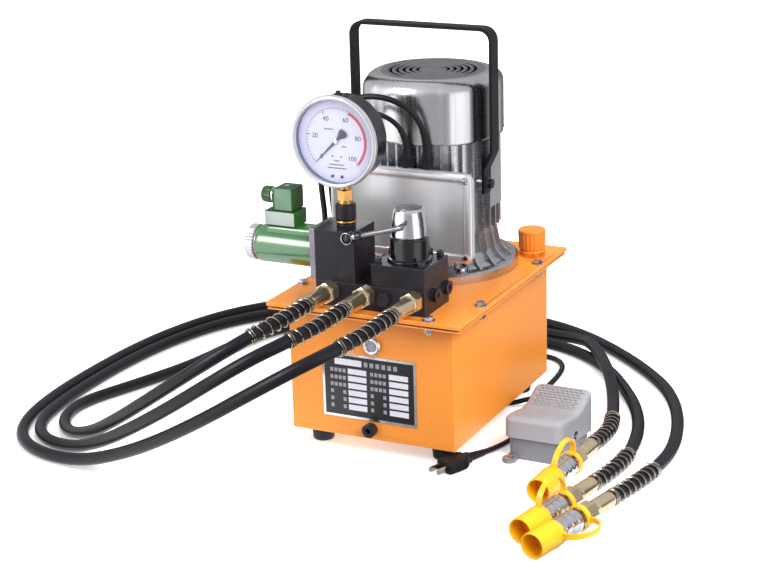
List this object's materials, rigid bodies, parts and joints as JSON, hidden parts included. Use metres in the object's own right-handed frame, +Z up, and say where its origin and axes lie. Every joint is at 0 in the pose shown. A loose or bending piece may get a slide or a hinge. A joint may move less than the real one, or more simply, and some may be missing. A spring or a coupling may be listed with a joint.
{
  "type": "hydraulic power unit",
  "caption": "electric hydraulic power unit with an orange oil tank, vertical motor, solenoid valve, pressure gauge, hoses with quick couplers, foot switch and mains lead",
  "frame": {"origin": "on the floor, in the middle of the four tank feet", "axes": "+Z up, front with the hose ports and the nameplate toward -Y, +X to the right seen from the front"},
  "size_m": [0.7998, 0.7333, 0.481],
  "materials": {
    "orange_paint": "semi-gloss orange paint",
    "black_rubber": "moulded, matt",
    "gasket_rubber": "cut sheet",
    "zinc_steel": "bright zinc plate",
    "plate_print": "printed metal label",
    "black_steel": "black oxide",
    "brass": "machined",
    "orange_plastic": "moulded",
    "steel": "ground",
    "cast_aluminium": "cast, lightly polished",
    "lamination": "varnished",
    "copper": "enamelled wire",
    "fan_plastic": "moulded",
    "pressed_aluminium": "polished sheet",
    "handle_black": "matt black",
    "grey_steel": "black oxide, worn lighter",
    "coil_green": "gloss green",
    "bright_zinc": "polished zinc",
    "plug_green": "moulded dark green",
    "chrome": "polished",
    "dial_white": "printed dial",
    "needle_black": "matt black",
    "clear_glass": "clear",
    "dark_grey_plastic": "moulded",
    "light_grey_plastic": "moulded, fine grain",
    "hose_rubber": "smooth hose cover",
    "gold_zinc": "yellow zinc plate",
    "yellow_rubber": "soft yellow",
    "black_pvc": "cable sheath"
  },
  "bodies": {
    "unit": {"oil_tank": "orange_paint", "tank_feet": "black_rubber", "cover_gasket": "gasket_rubber", "cover_plate": "orange_paint", "cover_fasteners": "zinc_steel", "nameplate": "plate_print", "level_glass": "zinc_steel", "drain_plug": "black_steel", "breather_neck": "brass", "suction_strainer": "steel", "motor_shield": "cast_aluminium", "motor_bolts": "black_steel", "motor_frame": "cast_aluminium", "stator_core": "lamination", "stator_windings": "copper", "motor_bearings": "steel", "rear_shield": "cast_aluminium", "fan_cowl": "pressed_aluminium", "small_screws": "zinc_steel", "terminal_box_base": "cast_aluminium", "terminal_box_cover": "pressed_aluminium", "cable_glands": "black_rubber", "lifting_handle": "handle_black", "pump_body": "steel", "pump_plungers": "steel", "manifold_block": "black_steel", "valve_block": "black_steel", "valve_plate": "grey_steel", "solenoid_coil": "coil_green", "solenoid_end_nut": "bright_zinc", "solenoid_plug": "plug_green", "relief_block": "black_steel", "relief_dome": "black_steel", "relief_cap": "chrome", "block_screws": "black_steel", "port_plugs": "black_steel", "gauge_adapter": "brass", "gauge_case": "bright_zinc", "gauge_dial": "dial_white", "gauge_lens": "clear_glass", "foot_switch_base": "dark_grey_plastic", "hose_1": "hose_rubber", "hose_2": "hose_rubber", "hose_3": "hose_rubber", "manifold_fittings": "gold_zinc", "spring_guards": "zinc_steel", "coupler_fittings": "gold_zinc", "couplers": "bright_zinc", "dust_caps": "yellow_rubber", "mains_cable": "black_pvc", "foot_cable": "black_pvc", "mains_plug": "black_pvc"},
    "rotor": {"rotor_core": "lamination", "motor_shaft": "steel", "cooling_fan": "fan_plastic"},
    "needle": {"gauge_needle": "needle_black"},
    "lever": {"release_lever": "grey_steel"},
    "pedal": {"foot_pedal": "light_grey_plastic"},
    "spool": {"valve_spool": "steel"},
    "filler_cap": {"breather_cap": "orange_plastic"}
  },
  "joints": [
    {"name": "rotor_spin", "type": "hinge", "parent": "unit", "child": "rotor", "pos_m": [-0.003, 0.05, 0.3], "axis": [0, 0, 1], "continuous": true},
    {"name": "needle_turn", "type": "hinge", "parent": "unit", "child": "needle", "pos_m": [-0.035, -0.144, 0.3745], "axis": [0, 1, 0], "range_deg": [0, 270], "stiffness_Nm_per_rad": 0.0002},
    {"name": "lever_turn", "type": "hinge", "parent": "unit", "child": "lever", "pos_m": [-0.0183, -0.15, 0.2662], "axis": [0, -1, 0], "range_deg": [0, 90]},
    {"name": "pedal_press", "type": "hinge", "parent": "unit", "child": "pedal", "pos_m": [0.1805, -0.047, 0.022], "axis": [-1, 0, 0], "range_deg": [0, 5], "stiffness_Nm_per_rad": 3, "springref_deg": -17.19},
    {"name": "spool_shift", "type": "slide", "parent": "unit", "child": "spool", "axis": [1, 0, 0], "range_m": [0, 0.003], "stiffness_N_per_m": 400, "springref_m": -0.001},
    {"name": "filler_cap_turn", "type": "hinge", "parent": "unit", "child": "filler_cap", "pos_m": [0.094, 0.121, 0.2], "axis": [0, 0, 1], "range_deg": [0, 90]}
  ]
}
